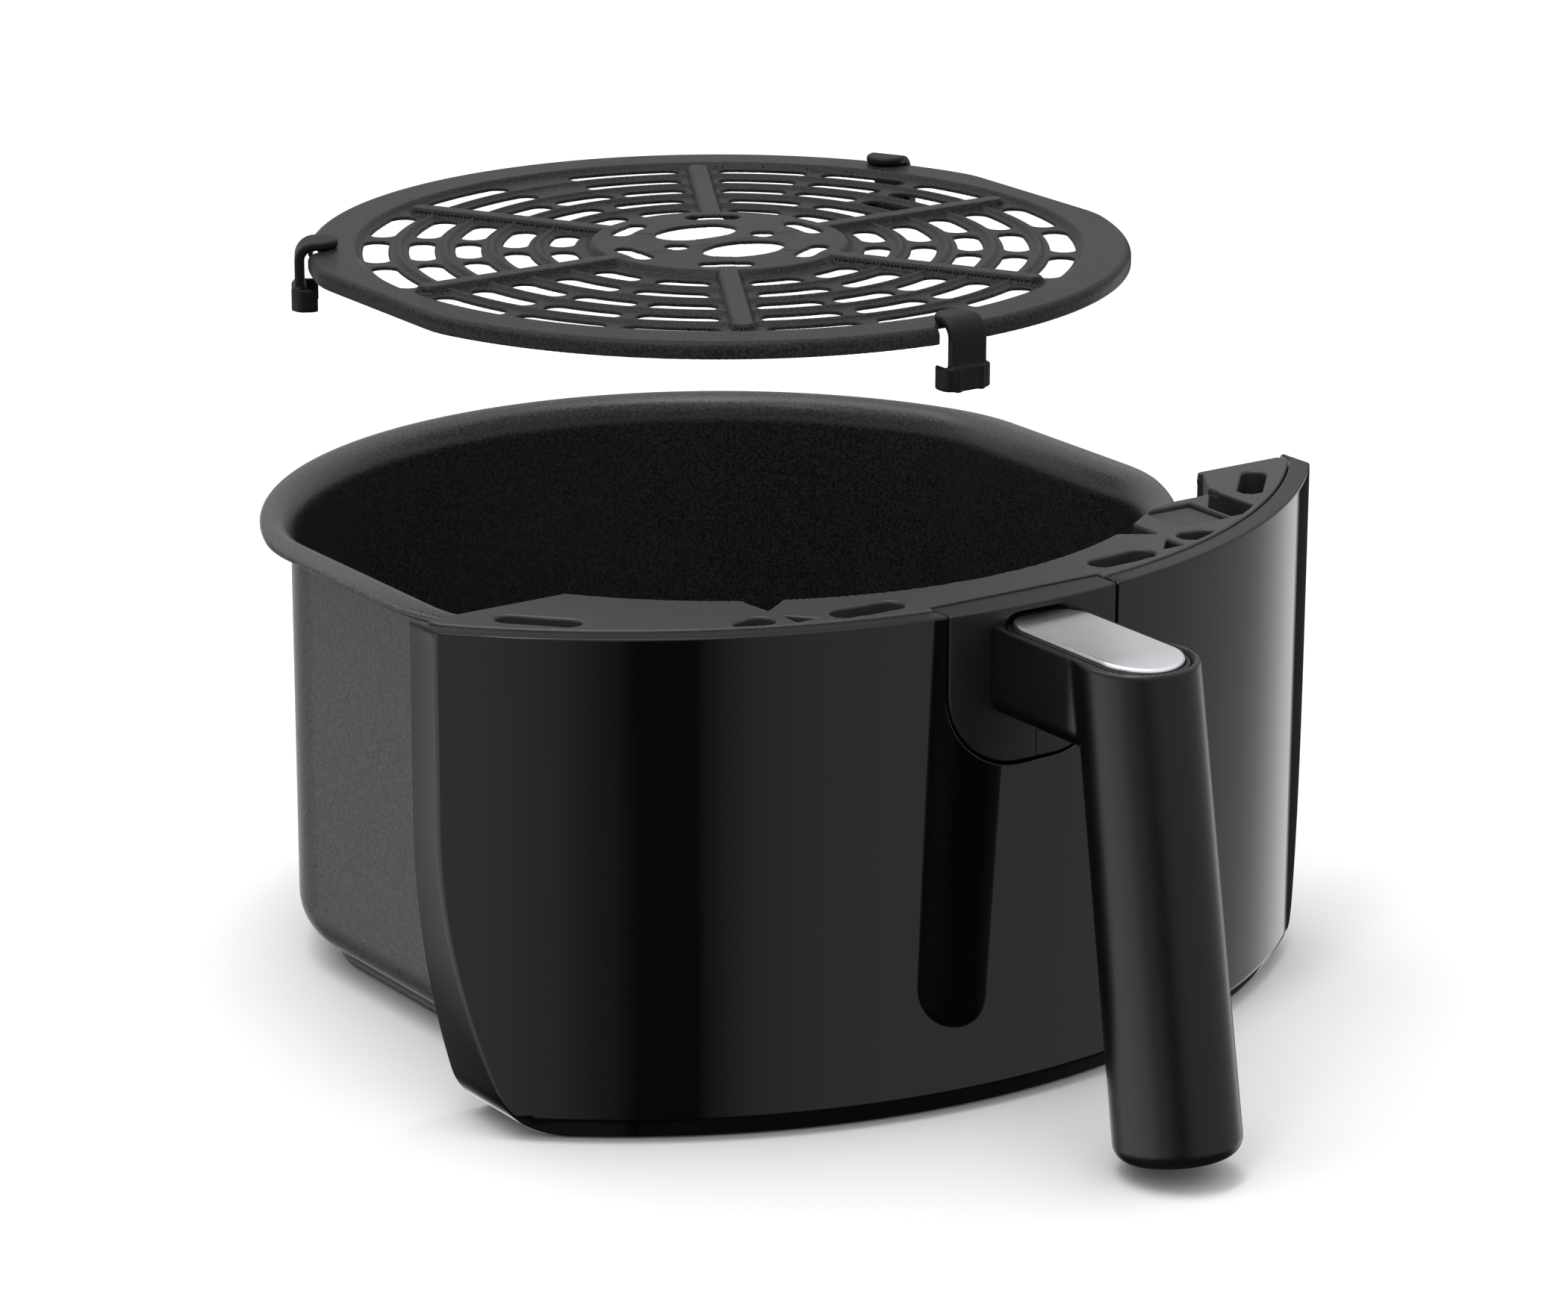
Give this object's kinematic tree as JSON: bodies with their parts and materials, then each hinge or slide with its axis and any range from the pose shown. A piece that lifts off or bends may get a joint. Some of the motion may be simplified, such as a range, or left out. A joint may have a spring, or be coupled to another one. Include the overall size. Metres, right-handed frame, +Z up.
{
  "type": "air fryer drawer",
  "caption": "Air fryer drawer: non-stick pan with a glossy curved front and a leaning round handle, and a slotted crisper plate held above it on silicone bumpers.",
  "frame": {"origin": "on the pan's axis, in the plane of the table under the pan's base", "axes": "+Z up, -Y towards the user through the handle, +X to the user's right"},
  "size_m": [0.255, 0.3154, 0.1832],
  "materials": {
    "nonstick": "fine-grained non-stick coating on pressed steel",
    "steel": "zinc plated",
    "foil": "rolled sheet",
    "fibre": "needled mineral fibre",
    "gloss_black": "polished",
    "matte_black": "fine spark-eroded texture",
    "grained_black": "coarse grain",
    "handle_black": "soft satin",
    "seal_black": "smooth",
    "chrome": "mirror plated",
    "silicone": "soft matte silicone"
  },
  "bodies": {
    "drawer": {"pan": "nonstick", "pan_hanger": "steel", "hanger_studs": "steel", "hanger_washers": "steel", "hanger_nuts": "steel", "heat_shield": "foil", "insulation": "fibre", "front_panel": "gloss_black", "front_frame": "matte_black", "back_cover": "matte_black", "recess_pad": "grained_black", "panel_screws": "steel", "frame_screws": "steel", "handle_seat": "matte_black", "handle_grip": "handle_black", "handle_core": "steel", "seat_screws": "steel", "cap_trim": "seal_black", "chrome_cap": "chrome"},
    "plate": {"crisper_plate": "nonstick", "clip_front": "silicone", "clip_rear_right": "silicone", "clip_rear_left": "silicone"}
  },
  "joints": [
    {"name": "plate_lift", "type": "slide", "parent": "drawer", "child": "plate", "axis": [0, 0, 1], "range_m": [-0.1405, 0]}
  ]
}
